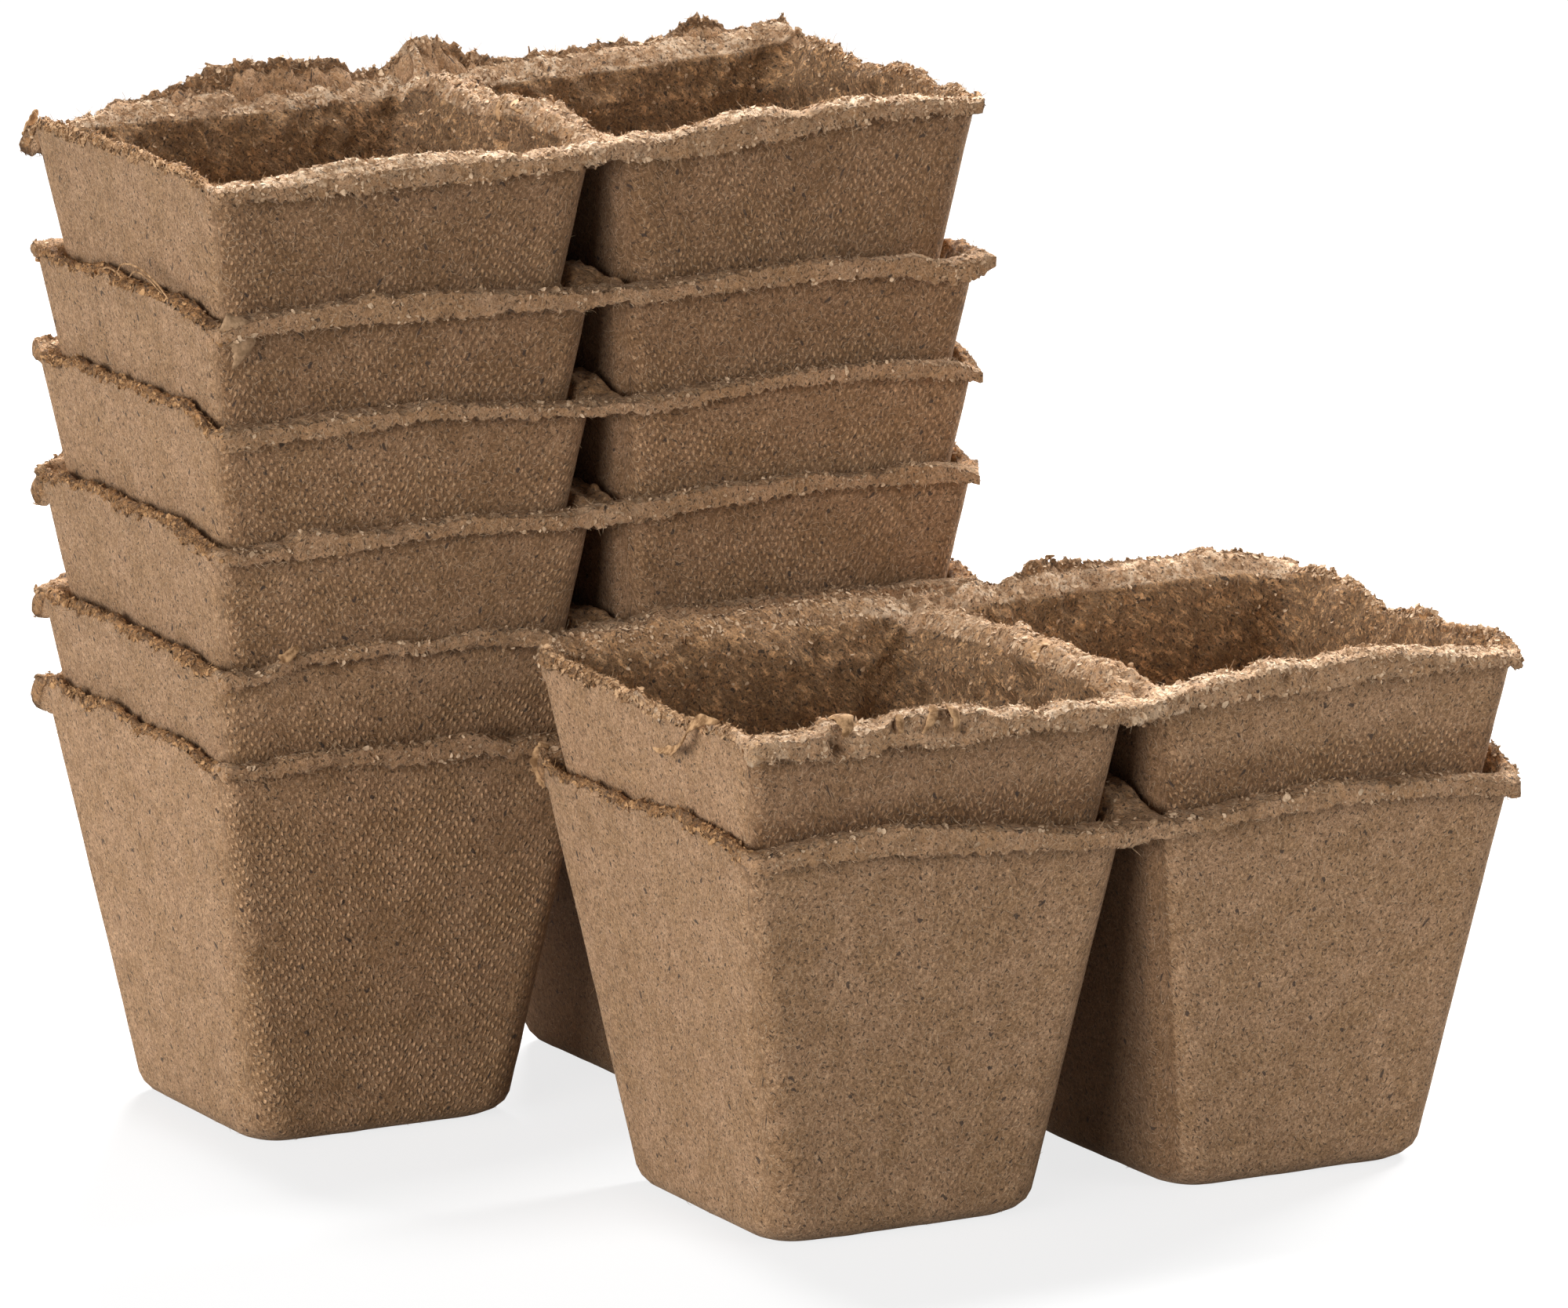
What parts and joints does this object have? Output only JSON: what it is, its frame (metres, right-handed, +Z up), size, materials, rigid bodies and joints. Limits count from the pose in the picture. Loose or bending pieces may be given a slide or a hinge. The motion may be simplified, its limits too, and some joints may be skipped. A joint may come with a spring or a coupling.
{
  "type": "nested plant pot strips",
  "caption": "Moulded pulp pots for seedlings, square and tapered, joined in pairs by a torn rim and nested in a tall stack and a short stack.",
  "frame": {"origin": "on the ground, under the middle of the bounding box of both stacks", "axes": "+X along the strips, to the right in the picture; +Y from the short stack to the tall one; +Z up"},
  "size_m": [0.2079, 0.1895, 0.1904],
  "materials": {
    "left_strip_1": "rough fibrous pulp",
    "left_strip_2": "rough fibrous pulp",
    "left_strip_3": "rough fibrous pulp",
    "left_strip_4": "rough fibrous pulp",
    "left_strip_5": "rough fibrous pulp",
    "left_strip_6": "rough fibrous pulp",
    "right_strip_1": "rough fibrous pulp",
    "right_strip_2": "rough fibrous pulp"
  },
  "bodies": {
    "left_strip_1": {"left_strip_1": "left_strip_1"},
    "left_strip_2": {"left_strip_2": "left_strip_2"},
    "left_strip_3": {"left_strip_3": "left_strip_3"},
    "left_strip_4": {"left_strip_4": "left_strip_4"},
    "left_strip_5": {"left_strip_5": "left_strip_5"},
    "left_strip_6": {"left_strip_6": "left_strip_6"},
    "right_strip_1": {"right_strip_1": "right_strip_1"},
    "right_strip_2": {"right_strip_2": "right_strip_2"}
  },
  "joints": [
    {"name": "left_strip_2_lift", "type": "slide", "parent": "left_strip_1", "child": "left_strip_2", "axis": [0, 0, 1], "range_m": [0, 0.09]},
    {"name": "left_strip_3_lift", "type": "slide", "parent": "left_strip_2", "child": "left_strip_3", "axis": [0, 0, 1], "range_m": [0, 0.09]},
    {"name": "left_strip_4_lift", "type": "slide", "parent": "left_strip_3", "child": "left_strip_4", "axis": [0, 0, 1], "range_m": [0, 0.09]},
    {"name": "left_strip_5_lift", "type": "slide", "parent": "left_strip_4", "child": "left_strip_5", "axis": [0, 0, 1], "range_m": [0, 0.09]},
    {"name": "left_strip_6_lift", "type": "slide", "parent": "left_strip_5", "child": "left_strip_6", "axis": [0, 0, 1], "range_m": [0, 0.09]},
    {"name": "right_strip_1_lift", "type": "slide", "parent": "left_strip_1", "child": "right_strip_1", "axis": [0, 0, 1], "range_m": [0, 0.1]},
    {"name": "right_strip_2_lift", "type": "slide", "parent": "right_strip_1", "child": "right_strip_2", "axis": [0, 0, 1], "range_m": [0, 0.09]}
  ]
}
